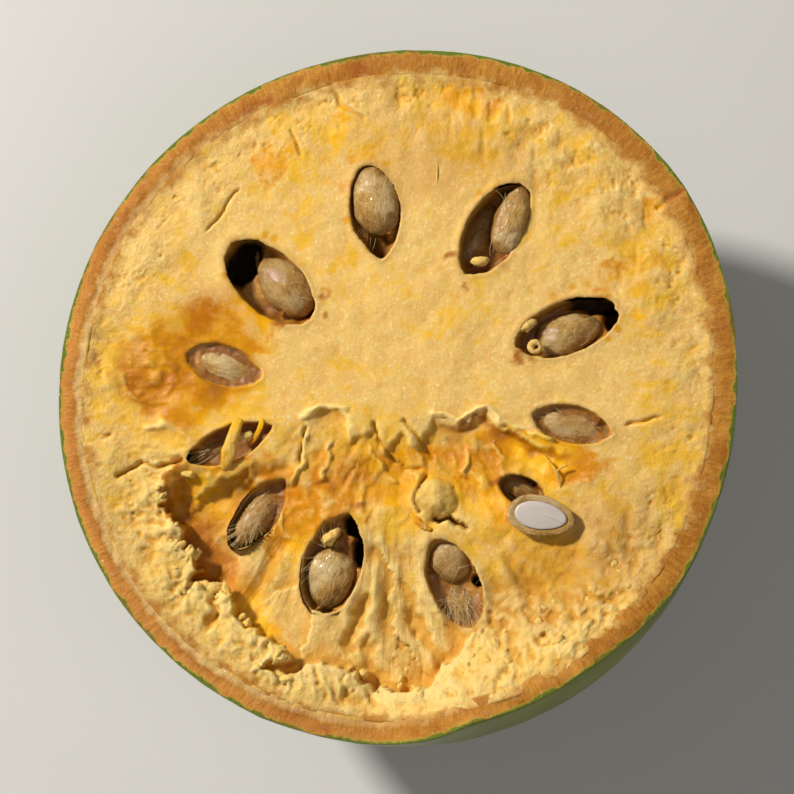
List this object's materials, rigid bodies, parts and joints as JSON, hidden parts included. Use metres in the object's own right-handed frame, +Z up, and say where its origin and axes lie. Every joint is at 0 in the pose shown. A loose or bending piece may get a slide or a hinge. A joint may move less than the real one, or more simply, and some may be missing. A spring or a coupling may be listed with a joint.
{
  "type": "halved bael fruit",
  "caption": "Half of a round woody-shelled bael fruit lying on its outside, cut face up, with pulp, a ring of seed chambers with gummy seeds, and a torn lower edge.",
  "frame": {"origin": "middle of the small flat that the half rests on, under the middle of its box", "axes": "+Z up, square to the clean part of the cut face; +Y towards the top of the cut face as it is looked down on"},
  "size_m": [0.0885, 0.0909, 0.0491],
  "materials": {
    "woody_shell": "green skin outside, orange-tan wood on the cut",
    "pulp": "moist, translucent cream to orange",
    "seed_coat": "woolly, coated with clear gum",
    "seed_kernel": "smooth white kernel"
  },
  "bodies": {
    "root": {"shell": "woody_shell", "pulp": "pulp", "seed_01": "seed_coat", "seed_02": "seed_coat", "seed_03": "seed_coat", "seed_04": "seed_coat", "seed_05": "seed_coat", "seed_06": "seed_coat", "seed_07": "seed_coat", "seed_08": "seed_coat", "seed_09": "seed_coat", "seed_10": "seed_coat", "seed_11": "seed_coat", "seed_12": "seed_coat", "seed_13": "seed_coat", "seed_14": "seed_coat", "cut_seed_coat": "seed_coat", "cut_seed_kernel": "seed_kernel"}
  },
  "joints": []
}
